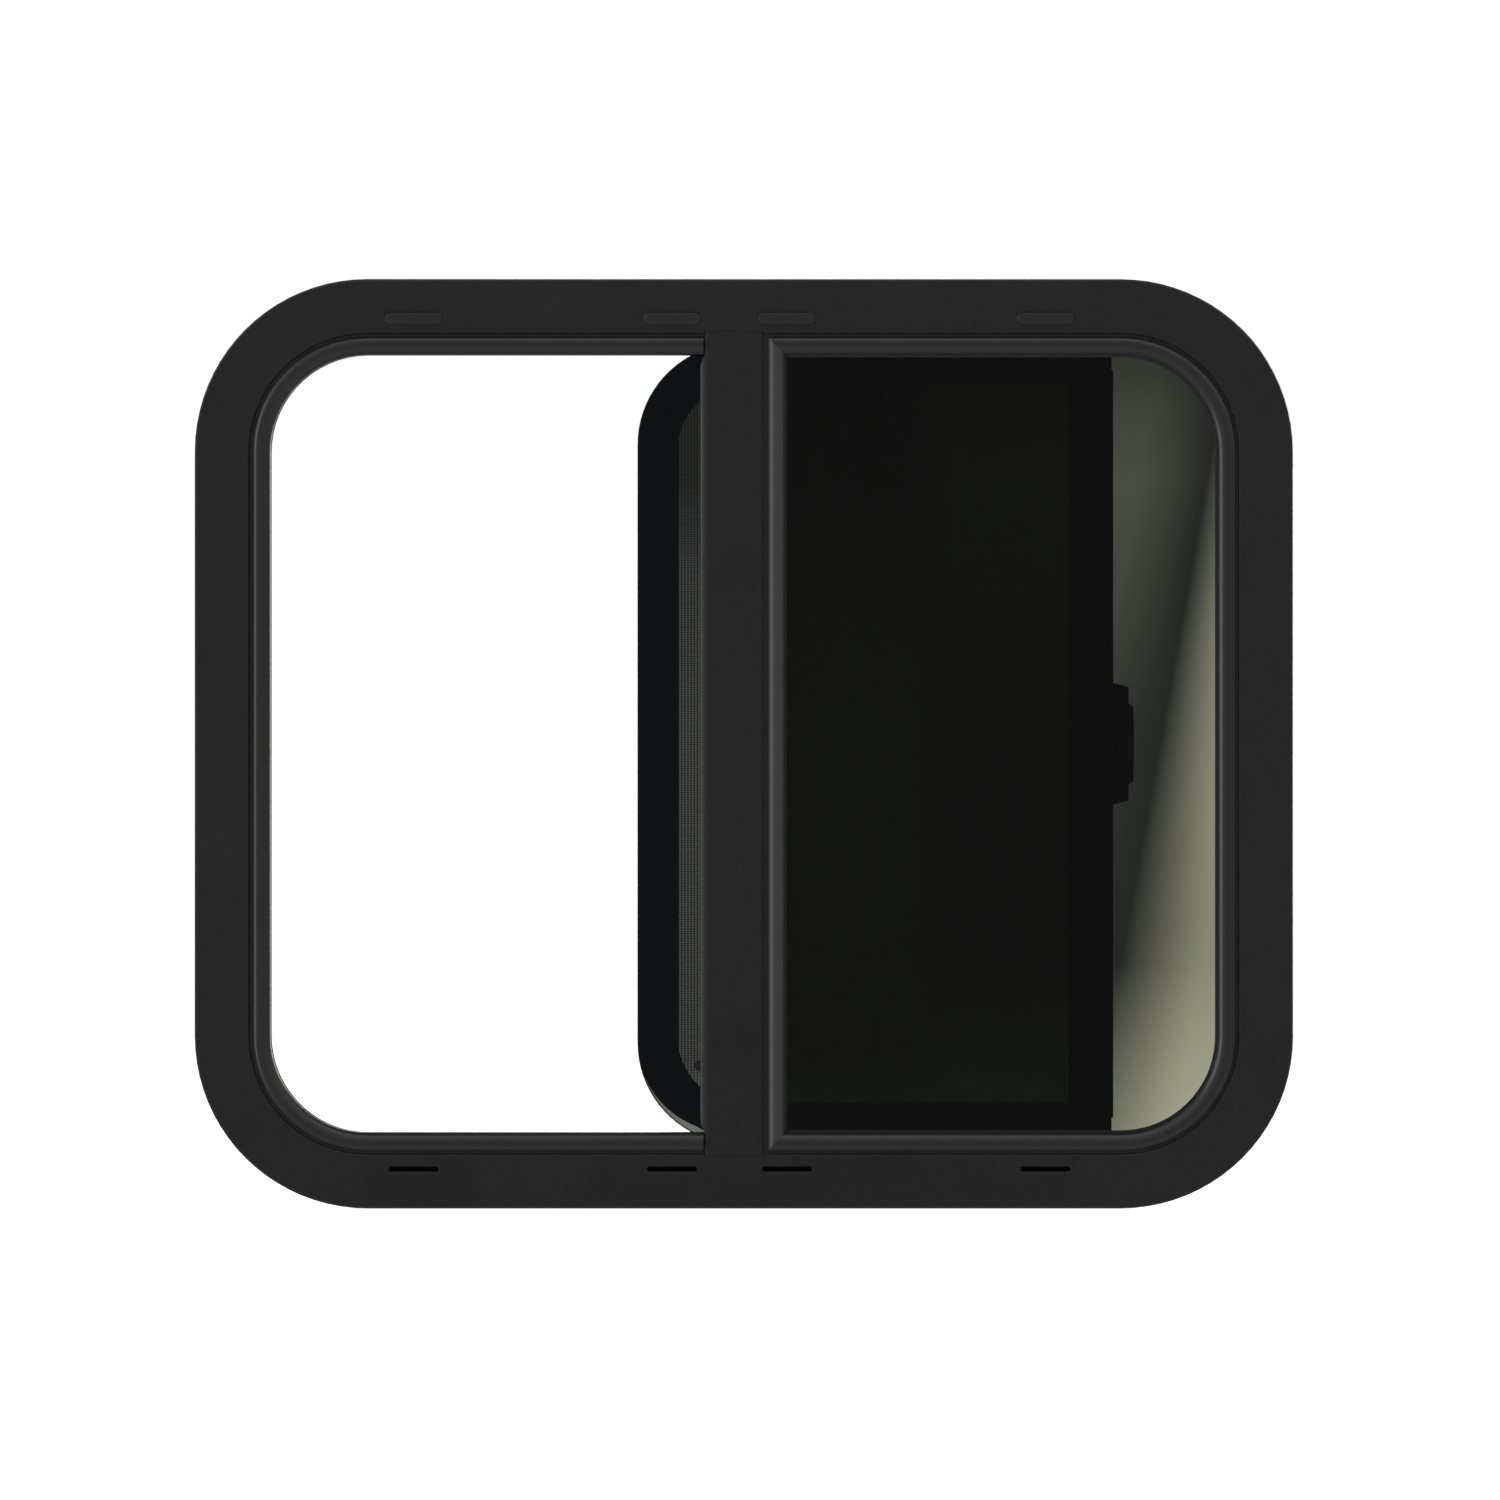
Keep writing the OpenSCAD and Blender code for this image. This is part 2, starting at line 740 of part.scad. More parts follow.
module latch_base() {
  color(frame_black) union() {
    translate([0, stile_back_d + base_t, 0]) rotate([90, 0, 0]) linear_extrude(base_t) difference() {
      polygon([
        [base_left, -base_half + base_slant], [stile_x, -base_half], [base_x, -base_half + base_slant],
        [base_x, base_half - base_slant], [stile_x, base_half], [base_left, base_half - base_slant]
      ]);
      for (s = [-1, 1]) {
        translate([pin_x, s * spring_z]) square([2 * spring_window, spring_l], center = true);
      }
    }
    for (s = [-1, 1]) {
      translate([pin_x, 0, s * (lever_half + run_gap + knuckle_l / 2)]) difference() {
        union() {
          translate([0, pin_y, -knuckle_l / 2]) cylinder(r = barrel_r, h = knuckle_l);
          translate([-barrel_r, stile_back_d, -knuckle_l / 2]) {
            cube([2 * barrel_r, pin_y - stile_back_d, knuckle_l]);
          }
        }
        translate([0, pin_y, -knuckle_l]) cylinder(d = pin_d, h = 2 * knuckle_l);
      }
    }
  }
}

module latch_pin() {
  half = lever_half + run_gap + knuckle_l;
  color(steel) translate([pin_x, pin_y, -half]) cylinder(d = pin_d - seat_gap, h = 2 * half);
}

// Lever on the pin, with a hook that reaches past the pane's edge to the keeper
module latch_lever() {
  corner = 3;
  color(frame_black) difference() {
    union() {
      translate([pin_x, pin_y, -lever_half]) cylinder(r = barrel_r, h = 2 * lever_half);
      translate([0, pin_y + lever_t / 2, 0]) rotate([90, 0, 0]) linear_extrude(lever_t) {
        union() {
          translate([pin_x, -lever_half]) square([lever_x - corner - pin_x, 2 * lever_half]);
          translate([pin_x, corner - lever_half]) square([lever_x - pin_x, 2 * (lever_half - corner)]);
          for (s = [-1, 1]) {
            translate([lever_x - corner, s * (lever_half - corner)]) circle(r = corner);
          }
        }
      }
      translate([lever_x - hook_w, hook_tip_d, -keeper_half + 3]) {
        cube([hook_w, pin_y + lever_t / 2 - hook_tip_d, 2 * keeper_half - 6]);
      }
      for (i = [0:grip_ribs - 1]) {
        translate([pin_x + grip_start + i * grip_pitch, pin_y + lever_t / 2, -grip_half]) {
          cylinder(r = grip_r, h = 2 * grip_half);
        }
      }
    }
    translate([pin_x, pin_y, -lever_half - 1]) cylinder(d = pin_d, h = 2 * lever_half + 2);
    for (s = [-1, 1]) {
      translate([pin_x - spring_room, pin_y - spring_room, s * spring_z - spring_l / 2 - run_gap]) {
        cube([2 * spring_room, 2 * spring_room, spring_l + 2 * run_gap]);
      }
    }
  }
}

// Aluminium frame of the insect screen, with a step on the room side for mesh and cord
module screen_window(inset) {
  pane_shape(screen_left + inset, screen_right - inset, sash_half - inset, screen_r - inset);
}

module screen_ring(from, to) {
  difference() {
    screen_window(from);
    screen_window(to);
  }
}

module screen_frame() {
  color(frame_black) stand() {
    translate([0, 0, -screen_d - screen_t / 2]) linear_extrude(screen_t / 2) screen_ring(0, screen_bar);
    translate([0, 0, -screen_d - screen_t]) {
      linear_extrude(screen_t / 2) screen_ring(0, screen_bar - screen_step);
    }
  }
}

module screen_mesh() {
  color(mesh_grey) stand() translate([0, 0, -screen_d - screen_t / 2 - mesh_t]) linear_extrude(mesh_t) {
    screen_window(screen_bar - screen_step + seat_gap);
  }
}

module screen_spline() {
  outer = screen_bar - screen_step + seat_gap;
  thick = screen_t / 2 - mesh_t;
  color(rubber_black) stand() translate([0, 0, -screen_d - screen_t]) linear_extrude(thick) {
    screen_ring(outer, outer + spline_w);
  }
}

module screen_glide(x) {
  color("white") translate([x, screen_d + 1, -floor_y + run_gap]) {
    cube([glide_l, screen_t - 2, floor_y - sash_half - run_gap]);
  }
}

module screen_glide_left() { screen_glide(screen_left + screen_r); }
module screen_glide_right() { screen_glide(screen_right - glide_inset - glide_l); }

// Finger pull on the room side of the screen's trailing bar
module screen_pull() {
  lip_r = pull_t / 2;
  left = screen_right - screen_bar / 2 - pull_w / 2;
  color(frame_black) translate([left, screen_d + screen_t, -pull_half]) {
    linear_extrude(2 * pull_half) union() {
      translate([pull_w - pull_t, 0]) intersection() {
        circle(r = pull_t);
        square([pull_t, pull_t]);
      }
      square([pull_w - pull_t, pull_t]);
      square([pull_t, pull_h - lip_r]);
      translate([lip_r, pull_h - lip_r]) circle(r = lip_r);
    }
  }
}

outer_frame();
trim_ring();
mullion();
mullion_bead();
mullion_spigot_top();
mullion_spigot_bottom();
mullion_pile();
mullion_button();
latch_keeper();
fixed_glass();
fixed_glass_gasket();
fixed_glass_wedge();
top_track();
bottom_track();
track_stop_top();
track_stop_bottom();
jamb_seal();
slot_cap_1();
slot_cap_2();
slot_cap_3();
slot_cap_4();
sash_glass();
sash_print();
sash_stile();
sash_glide_left();
sash_glide_right();
latch_base();
latch_pin();
latch_lever();
screen_frame();
screen_mesh();
screen_spline();
screen_glide_left();
screen_glide_right();
screen_pull();
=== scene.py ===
"""Looks of the half-sliding caravan window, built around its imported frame. Lengths are metres."""
import math

import bpy
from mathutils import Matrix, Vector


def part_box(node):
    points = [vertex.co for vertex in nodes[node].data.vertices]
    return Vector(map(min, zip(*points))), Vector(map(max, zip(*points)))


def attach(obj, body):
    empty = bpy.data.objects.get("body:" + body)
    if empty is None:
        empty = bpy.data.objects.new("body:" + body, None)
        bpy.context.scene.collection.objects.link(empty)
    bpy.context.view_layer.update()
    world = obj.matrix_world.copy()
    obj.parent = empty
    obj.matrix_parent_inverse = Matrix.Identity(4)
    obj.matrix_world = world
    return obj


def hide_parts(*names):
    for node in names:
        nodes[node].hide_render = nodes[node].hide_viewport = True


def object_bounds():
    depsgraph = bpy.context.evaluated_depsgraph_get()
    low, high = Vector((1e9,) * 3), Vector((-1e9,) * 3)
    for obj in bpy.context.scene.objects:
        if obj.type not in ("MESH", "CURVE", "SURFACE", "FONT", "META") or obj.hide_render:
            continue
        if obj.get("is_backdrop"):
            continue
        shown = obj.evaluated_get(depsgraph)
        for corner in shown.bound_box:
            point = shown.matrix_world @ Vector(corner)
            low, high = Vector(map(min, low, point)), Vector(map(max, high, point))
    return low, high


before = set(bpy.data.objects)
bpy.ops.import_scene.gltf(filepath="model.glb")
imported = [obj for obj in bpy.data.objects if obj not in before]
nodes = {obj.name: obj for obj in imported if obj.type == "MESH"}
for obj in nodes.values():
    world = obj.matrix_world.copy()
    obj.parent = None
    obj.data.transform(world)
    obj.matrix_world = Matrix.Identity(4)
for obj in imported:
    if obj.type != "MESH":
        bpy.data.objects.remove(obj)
cad_low, cad_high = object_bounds()
MM = 0.001

# The camera stands far back with a long lens and looks straight at the window, so that the frame's bead
# nearly hides the channels behind it. The window hangs upright, as it does in a wall.
picture_px = 1500
px_size = 0.5918 * MM
window_centre_px = (744, 743.75)
camera_distance = 12
camera_reach = 60
sensor = 36

camera_x = (picture_px / 2 - window_centre_px[0]) * px_size
camera_z = (window_centre_px[1] - picture_px / 2) * px_size
bpy.ops.object.camera_add(location=(camera_x, -camera_distance, camera_z), rotation=(math.radians(90), 0, 0))
camera = bpy.context.object
camera.name = "product_camera"
camera.data.sensor_width = sensor
camera.data.lens = sensor * camera_distance / (picture_px * px_size)
camera.data.clip_end = camera_reach
bpy.context.scene.camera = camera
bpy.context.scene.view_settings.view_transform = "Standard"
bpy.context.scene.cycles.use_denoising = True


# The studio is a white floor under a white surround. What the panes and the paint mirror is the dim
# room round the camera, a pale backdrop behind the window and the soft boxes.
class Wire:
    """One socket of a node tree. Arithmetic on it adds Math nodes to that tree."""

    def __init__(self, tree, socket=None):
        self.tree = tree
        self.socket = socket

    def add(self, kind, settings, values, output=0):
        """Adds a node, gives it its settings, then the values or wires of its sockets."""
        node = self.tree.nodes.new("ShaderNode" + kind)
        for name, value in settings.items():
            if name == "stops":
                stops = node.color_ramp.elements
                while len(stops) < len(value):
                    stops.new(1)
                for stop, (place, grey) in zip(stops, value):
                    stop.position = place
                    stop.color = (grey, grey, grey, 1)
            else:
                setattr(node, name, value)
        for name, value in values.items():
            if isinstance(value, Wire):
                self.tree.links.new(value.socket, node.inputs[name])
            else:
                node.inputs[name].default_value = value
        return Wire(self.tree, node.outputs[output])

    def maths(self, operation, first, second):
        return self.add("Math", {"operation": operation}, {0: first, 1: second})

    def __add__(self, other):
        return self.maths("ADD", self, other)

    def __radd__(self, other):
        return self.maths("ADD", other, self)

    def __sub__(self, other):
        return self.maths("SUBTRACT", self, other)

    def __rsub__(self, other):
        return self.maths("SUBTRACT", other, self)

    def __mul__(self, other):
        return self.maths("MULTIPLY", self, other)

    def __rmul__(self, other):
        return self.maths("MULTIPLY", other, self)

    def part(self, axis):
        """The X, Y or Z of a vector."""
        return self.add("SeparateXYZ", {}, {"Vector": self}, axis)

    def slope(self, value, low, high, at_low, at_high):
        """Runs from at_low to at_high while the value runs from low to high."""
        return self.add("MapRange", {}, {"Value": value, "From Min": low, "From Max": high,
                                         "To Min": at_low, "To Max": at_high})

    def mix(self, mask, first, second):
        """The first number where the mask is 0 and the second where it is 1."""
        return self.add("Mix", {}, {0: mask, 2: first, 3: second})

    def ramp(self, value, stops):
        """Reads a number off a list of (place, level) stops."""
        return self.add("ValToRGB", {"stops": stops}, {"Fac": value})

    def feed(self, node, socket):
        self.tree.links.new(self.socket, node.inputs[socket])


floor_gap = 0.7 * MM
floor_size = 14
floor_glow = 0.92
floor_white = 0.8
floor_roughness = 0.9

bpy.ops.object.select_all(action="DESELECT")
bpy.ops.mesh.primitive_plane_add(size=floor_size, location=(0, 0, cad_low.z - floor_gap))
studio_floor = bpy.context.object
studio_floor.name = "studio_floor"
floor_paint = bpy.data.materials.new("studio_floor_paint")
floor_paint.use_nodes = True
floor_shader = floor_paint.node_tree.nodes["Principled BSDF"]
floor_shader.inputs["Base Color"].default_value = (floor_white, floor_white, floor_white, 1)
floor_shader.inputs["Roughness"].default_value = floor_roughness
floor_shader.inputs["Specular IOR Level"].default_value = 0
floor_shader.inputs["Emission Color"].default_value = (1, 1, 1, 1)
floor_shader.inputs["Emission Strength"].default_value = floor_glow
studio_floor.data.materials.append(floor_paint)
studio_floor.visible_glossy = False
studio_floor.visible_transmission = False
studio_floor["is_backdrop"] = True

dark_room = 0.1
dark_cone = (-0.99, -0.93)
room_by_height = [(0.0, 0.2), (0.25, 0.4), (0.42, 0.35), (0.49, 0.12), (0.51, 0.12), (0.58, 0.45), (0.7, 0.8),
                  (0.86, 0.5), (0.95, 0.12)]
room_depths = (-0.2, 0.2)
room_behind = 0.3
backdrop_light = 1.2
backdrop_depths = (-0.1, 0.4)
backdrop_heights = (0.2, 0.55)
backdrop_height_fade = 0.15
backdrop_sides = (-0.35, 0.1)
room_through_glass = 0.6
surround_white = 1.02

surround = bpy.data.worlds.new("studio_room")
surround.use_nodes = True
bpy.context.scene.world = surround
room = Wire(surround.node_tree)
toward = room.add("TexCoord", {}, {}, "Generated")
depth = toward.part("Y")
height = toward.part("Z")
by_height = room.ramp(height * 0.5 + 0.5, room_by_height)
front = room.slope(depth, *dark_cone, dark_room, by_height) * room.slope(depth, *room_depths, 1, room_behind)
level = room.slope(room.maths("ABSOLUTE", height, 0), *backdrop_heights, 1, backdrop_height_fade)
to_right = room.slope(toward.part("X"), *backdrop_sides, 0, 1)
reflected = front + room.slope(depth, *backdrop_depths, 0, backdrop_light) * level * to_right
seen = room.add("LightPath", {}, {}, "Is Camera Ray")
through_glass = room.add("LightPath", {}, {}, "Is Transmission Ray")
unseen = room.mix(through_glass, reflected, room_through_glass)
background = surround.node_tree.nodes["Background"]
background.inputs["Color"].default_value = (1, 1, 1, 1)
room.mix(seen, unseen, surround_white).feed(background, "Strength")


def soft_box(name, place, turn, size, watts, tint=(1, 1, 1)):
    """A rectangular studio light."""
    bpy.ops.object.light_add(type="AREA", location=place, rotation=[math.radians(a) for a in turn])
    light = bpy.context.object
    light.name = name
    light.data.shape = "RECTANGLE"
    light.data.size, light.data.size_y = size
    light.data.energy = watts
    light.data.color = tint
    light.visible_camera = False
    light.visible_transmission = False


soft_box("left_soft_box", place=(-2.75, -2.5, 0.3), turn=(89, 0, -48), size=(1.3, 2.2), watts=34)
soft_box("right_soft_box", place=(1.75, 0.8, 0.45), turn=(78, 0, 114.5), size=(0.45, 1.3), watts=26,
         tint=(1, 0.93, 0.82))
soft_box("top_soft_box", place=(0.3, -2.6, 2.4), turn=(50, 0, 6), size=(2.2, 0.8), watts=8,
         tint=(0.93, 0.97, 1))
soft_box("room_side_box", place=(0.8, 2.6, 1.6), turn=(-58, 0, 0), size=(2, 1.2), watts=40)

# Behind the window hangs a card that is seen only through the tinted glass. Its glow changes with the
# height, and at the right a slanting beam of warmer light crosses it, with a soft shade on its left.
card_y = 0.9
card_size = 2.2
card_spread = camera_distance / (camera_distance + card_y)
card_middle = 0.5
mesh_glow = [(0.271, 3.0), (0.311, 1.15), (0.5, 1.25), (0.596, 1.0), (0.656, 0.35), (0.714, 0.3)]
pane_glow = [(0.31, 0.5), (0.5, 0.55), (0.55, 0.8), (0.585, 0.98), (0.656, 1.25), (0.7, 0.9), (0.72, 0.6)]
pane_starts = (0.1, 0.12)
slant_run = 5.6
slant_x = 0.2459
slant_widening = 1.8
widening_heights = (-0.1, 0.08)
glow_past_slant = [(0.0, 0.0), (0.075, 0.9), (0.15, 2.1), (0.225, 3.5), (0.27, 4.2), (0.45, 5.3)]
low_glow = 2.2
low_glow_heights = (-0.23, -0.13)
shade_low = 0.55
shade_high = 0.25
shade_heights = (-0.02, 0.1)
shade_run = 0.225
shade_stop = 0.01
green_light = (0.9, 0.985, 0.87, 1)
warm_light = (1, 0.9, 0.76, 1)
warm_run = 0.11

bpy.ops.object.select_all(action="DESELECT")
bpy.ops.mesh.primitive_plane_add(size=card_size, rotation=(math.radians(90), 0, 0), location=(0, card_y, 0))
card = bpy.context.object
card.name = "light_card"
card_paint = bpy.data.materials.new("light_card_glow")
card_paint.use_nodes = True
place = Wire(card_paint.node_tree).add("TexCoord", {}, {}, "Object")
across = place.part("X") * card_spread
up = place.part("Y") * card_spread
past_slant = (across - slant_x) * slant_run - up
shade_on_slant = up.slope(up, *shade_heights, shade_low, shade_high)
shade = up.slope(past_slant, -shade_run, -shade_stop, 1, shade_on_slant)
left_of_slant = up.ramp(up + card_middle, pane_glow) * shade
widened = past_slant * up.slope(up, *widening_heights, 1, slant_widening)
right_of_slant = up.ramp(widened, glow_past_slant) + up.slope(up, *low_glow_heights, low_glow, 0)
behind_mesh = up.ramp(up + card_middle, mesh_glow)
glow = up.mix(up.slope(across, *pane_starts, 0, 1), behind_mesh, left_of_slant + right_of_slant)
warmth = up.slope(past_slant, 0, warm_run, 0, 1)
light_colour = up.add("Mix", {"data_type": "RGBA"}, {0: warmth, 6: green_light, 7: warm_light}, 2)
lamp = card_paint.node_tree.nodes["Principled BSDF"]
lamp.inputs["Base Color"].default_value = (0, 0, 0, 1)
lamp.inputs["Specular IOR Level"].default_value = 0
glow.feed(lamp, "Emission Strength")
light_colour.feed(lamp, "Emission Color")
card.data.materials.append(card_paint)
card.visible_camera = False
card.visible_diffuse = False
card.visible_glossy = False
card.visible_shadow = False
card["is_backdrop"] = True

# The outer frame is one extruded aluminium section, bent round its four corners and powder coated satin
# black. Its flange lies on the wall and its half-round bead covers the edges of the panes. The crown of
# the bead is painted a little lighter as a painted sheen, and is rubbed a little duller by hands and cloths.
paint_grey = (0.0095, 0.0095, 0.0102, 1)
paint_light_and_sheen_grey = (0.0145, 0.0143, 0.0142, 1)
paint_roughness = 0.21
cloud_scale = 14
cloud_share = 0.6
cloud_roughness = 0.06
grit_scale = 2600
grit_share = 0.4
grit_roughness = 0.05
grit_height = 0.35
crown_from = -3.3 * MM
crown_to = -4.7 * MM
# How far the painted sheen on the bead's crown lightens the paint.
crown_sheen = 0.5
crown_roughness = 0.06
orange_peel_scale = 520
orange_peel_depth = 0.02 * MM


def finish(name, **sockets):
    """A new material, the wire of its Object coordinates, and its shader with plain values set."""
    material = bpy.data.materials.new(name)
    material.use_nodes = True
    shader = material.node_tree.nodes["Principled BSDF"]
    for socket, value in sockets.items():
        shader.inputs[socket.replace("_", " ")].default_value = value
    place = Wire(material.node_tree).add("TexCoord", {}, {}, "Object")
    return material, place, shader


def noise(place, scale, detail=2.0, stretch=None):
    """Cloudy grey between 0 and 1. stretch squeezes the pattern along X, Y and Z."""
    if stretch:
        place = place.add("Mapping", {}, {"Vector": place, "Scale": stretch})
    return place.add("TexNoise", {}, {"Vector": place, "Scale": scale, "Detail": detail}, "Fac")


def blend_colours(mask, dark, light):
    return mask.add("Mix", {"data_type": "RGBA"}, {0: mask, 6: dark, 7: light}, 2)


def roughen(height, shader, depth):
    """Bump whose height of 1 stands for the given depth."""
    height.add("Bump", {}, {"Height": height, "Distance": depth, "Strength": 1.0}).feed(shader, "Normal")


def coat(material, *names):
    """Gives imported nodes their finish."""
    for name in names:
        for slot in nodes[name].material_slots:
            slot.material = material


powder_coat, place, shader = finish("satin_black_powder_coat", Specular_IOR_Level=0.5)
clouds = noise(place, cloud_scale, 3)
grit = noise(place, grit_scale, 1)
# Painted sheen: the paint turns lighter towards the bead's crown, the part that stands furthest out.
crown = place.slope(place.part("Y"), crown_to, crown_from, 1, 0)
tone_and_sheen = clouds * cloud_share + grit * grit_share + crown * crown_sheen
blend_colours(tone_and_sheen, paint_grey, paint_light_and_sheen_grey).feed(shader, "Base Color")
gloss_change = clouds * cloud_roughness + grit * grit_roughness + crown * crown_roughness
(gloss_change + paint_roughness).feed(shader, "Roughness")
roughen(noise(place, orange_peel_scale, 2) + grit * grit_height, shader, orange_peel_depth)

coat(powder_coat, "outer_frame")

# Four drain slots at the bottom stay open. The four at the top are closed with press-in caps of black
# polyamide, whose spark-eroded grain is a little darker than the paint round them.
plastic_grey = (0.009, 0.009, 0.0095, 1)
plastic_light_grey = (0.014, 0.014, 0.0145, 1)
plastic_roughness = 0.32
grain_scale = 1900
grain_depth = 0.025 * MM
grain_roughness = 0.08
flow_scale = 60
flow_roughness = 0.12

moulded_plastic, place, shader = finish("black_moulded_polyamide", Specular_IOR_Level=0.4)
grain = place.add("TexVoronoi", {}, {"Vector": place, "Scale": grain_scale}, "Distance")
flow = noise(place, flow_scale, 3)
blend_colours(grain * 0.5 + flow * 0.5, plastic_grey, plastic_light_grey).feed(shader, "Base Color")
(flow * flow_roughness + grain * grain_roughness + plastic_roughness).feed(shader, "Roughness")
roughen(grain, shader, grain_depth)

coat(moulded_plastic, "slot_cap_1", "slot_cap_2", "slot_cap_3", "slot_cap_4")

# The mullion is a second extrusion, flush with the flange, with an anodised bead clipped on for the fixed
# pane. Two plugs of bare aluminium join it to the frame.
mill_grey = (0.44, 0.44, 0.45, 1)
mill_light_grey = (0.6, 0.6, 0.61, 1)
mill_roughness = 0.3
draw_line_scale = 1400
draw_line_stretch = (1, 1, 0.03)
draw_line_share = 0.6
draw_line_roughness = 0.2
draw_line_depth = 0.01 * MM
blotch_scale = 90
blotch_share = 0.4

mill_aluminium, place, shader = finish("mill_aluminium", Metallic=1.0)
draw_lines = noise(place, draw_line_scale, 2, draw_line_stretch)
blotches = noise(place, blotch_scale, 3)
metal_mask = draw_lines * draw_line_share + blotches * blotch_share
blend_colours(metal_mask, mill_grey, mill_light_grey).feed(shader, "Base Color")
(draw_lines * draw_line_roughness + mill_roughness).feed(shader, "Roughness")
roughen(draw_lines, shader, draw_line_depth)

bead_grey = (0.0125, 0.0125, 0.0128, 1)
bead_light_grey = (0.019, 0.019, 0.019, 1)
bead_roughness = 0.43
die_line_stretch = (1, 1, 0.02)
die_line_roughness = 0.08
die_line_depth = 0.006 * MM

satin_anodising, place, shader = finish("satin_black_anodising", Specular_IOR_Level=0.9)
die_lines = noise(place, draw_line_scale, 2, die_line_stretch)
blend_colours(die_lines, bead_grey, bead_light_grey).feed(shader, "Base Color")
(die_lines * die_line_roughness + bead_roughness).feed(shader, "Roughness")
roughen(die_lines, shader, die_line_depth)

coat(powder_coat, "mullion")
coat(satin_anodising, "mullion_bead")
coat(mill_aluminium, "mullion_spigot_top", "mullion_spigot_bottom")

# A pile strip in the back of the mullion wipes the sliding pane: a woven backing with rows of black
# polypropylene tufts. Under it a nylon button keeps the pane off the metal.
tuft_pitch_z = 1.1 * MM
tuft_pitch_x = 0.95 * MM
tuft_r = 0.34 * MM
tuft_tip_r = 0.1 * MM
tuft_lean = 0.12 * MM
backing_t = 0.7 * MM
backing_edge_r = 0.2 * MM
pile_black = (0.012, 0.012, 0.012, 1)
pile_grey = (0.035, 0.035, 0.034, 1)
strand_scale = 3000
strand_depth = 0.1 * MM


def start(add, name, **settings):
    """Adds a primitive by its operator, with nothing else selected, and names it."""
    bpy.ops.object.select_all(action="DESELECT")
    add(**settings)
    piece = bpy.context.object
    piece.name = name
    piece.data.name = name
    bpy.ops.object.transform_apply(location=True, rotation=True, scale=True)
    return piece


def apply(piece, kind, **settings):
    """Puts a modifier on the piece and applies it at once."""
    bpy.context.view_layer.objects.active = piece
    modifier = piece.modifiers.new(kind.lower(), kind)
    for name, value in settings.items():
        setattr(modifier, name, value)
    bpy.ops.object.modifier_apply(modifier=modifier.name)


def repeat(piece, count, step):
    """Copies the piece's mesh count times, step apart."""
    apply(piece, "ARRAY", count=count, use_relative_offset=False, use_constant_offset=True,
          constant_offset_displace=step)


def join(first, *others):
    """Joins pieces into the first one."""
    bpy.ops.object.select_all(action="DESELECT")
    for piece in (first, *others):
        piece.select_set(True)
    bpy.context.view_layer.objects.active = first
    bpy.ops.object.join()
    return first


def mount(piece, material, slot, body, *stands_for):
    """Gives a finished piece its material and body, and hides the nodes it stands for."""
    piece.data.materials.clear()
    piece.data.materials.append(material)
    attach(piece, body)
    if stands_for:
        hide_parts(*stands_for)


pile, place, shader = finish("black_pile", Roughness=0.95, Specular_IOR_Level=0.2, Sheen_Weight=0.25)
strands = noise(place, strand_scale, 1)
blend_colours(strands, pile_black, pile_grey).feed(shader, "Base Color")
roughen(strands, shader, strand_depth)

low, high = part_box("mullion_pile")
rows = int((high.x - low.x - 2 * tuft_r) / tuft_pitch_x) + 1
columns = int((high.z - low.z - 2 * tuft_r) / tuft_pitch_z) + 1
tuft_h = high.y - low.y - backing_t
tufts = start(bpy.ops.mesh.primitive_cone_add, "pile_tufts", vertices=4, radius1=tuft_r, radius2=tuft_tip_r,
              depth=tuft_h, rotation=(math.radians(-90), 0, 0),
              location=(low.x + tuft_r, low.y + backing_t + tuft_h / 2, low.z + tuft_r))
repeat(tufts, rows, (tuft_pitch_x, 0, 0))
repeat(tufts, columns, (0, 0, tuft_pitch_z))
bpy.ops.object.mode_set(mode="EDIT")
bpy.ops.mesh.select_all(action="SELECT")
bpy.ops.transform.vertex_random(offset=tuft_lean, seed=4)
bpy.ops.object.mode_set(mode="OBJECT")
backing = start(bpy.ops.mesh.primitive_cube_add, "pile_backing", size=1,
                scale=(high.x - low.x, backing_t, high.z - low.z),
                location=((low.x + high.x) / 2, low.y + backing_t / 2, (low.z + high.z) / 2))
apply(backing, "BEVEL", width=backing_edge_r, segments=2)
pile_strip = join(backing, tufts)
pile_strip.name = "mullion_pile_strip"
mount(pile_strip, pile, "rubber", "frame", "mullion_pile")

coat(moulded_plastic, "mullion_button")

# The latch catches on a steel keeper on the back of the mullion. It is zinc plated, and the brushing of
# the steel shows through the plating.
steel_dark = (0.42, 0.42, 0.43, 1)
steel_light = (0.66, 0.66, 0.67, 1)
steel_roughness = 0.22
brush_scale = 2200
brush_stretch = (1, 0.05, 1)
brush_roughness = 0.15
brush_depth = 0.006 * MM
spangle_scale = 300
spangle_roughness = 0.1

plated_steel, place, shader = finish("zinc_plated_steel", Metallic=1.0)
brushing = noise(place, brush_scale, 2, brush_stretch)
spangle = noise(place, spangle_scale, 2)
blend_colours(brushing * 0.5 + spangle * 0.5, steel_dark, steel_light).feed(shader, "Base Color")
(brushing * brush_roughness + spangle * spangle_roughness + steel_roughness).feed(shader, "Roughness")
roughen(brushing, shader, brush_depth)

coat(plated_steel, "latch_keeper")

# The fixed pane is 4 mm toughened privacy glass, bedded on a rubber gasket behind the frame's lip and
# held from inside by a rubber wedge. The rollers of the furnace left a slight wave in the glass.
glass_tint = (0.057, 0.063, 0.053, 1)
glass_roughness = 0.004
smear_scale = 70
smear_roughness = 0.012
roller_wave_scale = 9
roller_wave_depth = 0.05 * MM
rubber_black = (0.011, 0.011, 0.011, 1)
rubber_bloom = (0.024, 0.024, 0.025, 1)
rubber_roughness = 0.62
bloom_scale = 120
bloom_roughness = 0.16
skin_scale = 1700
skin_depth = 0.03 * MM

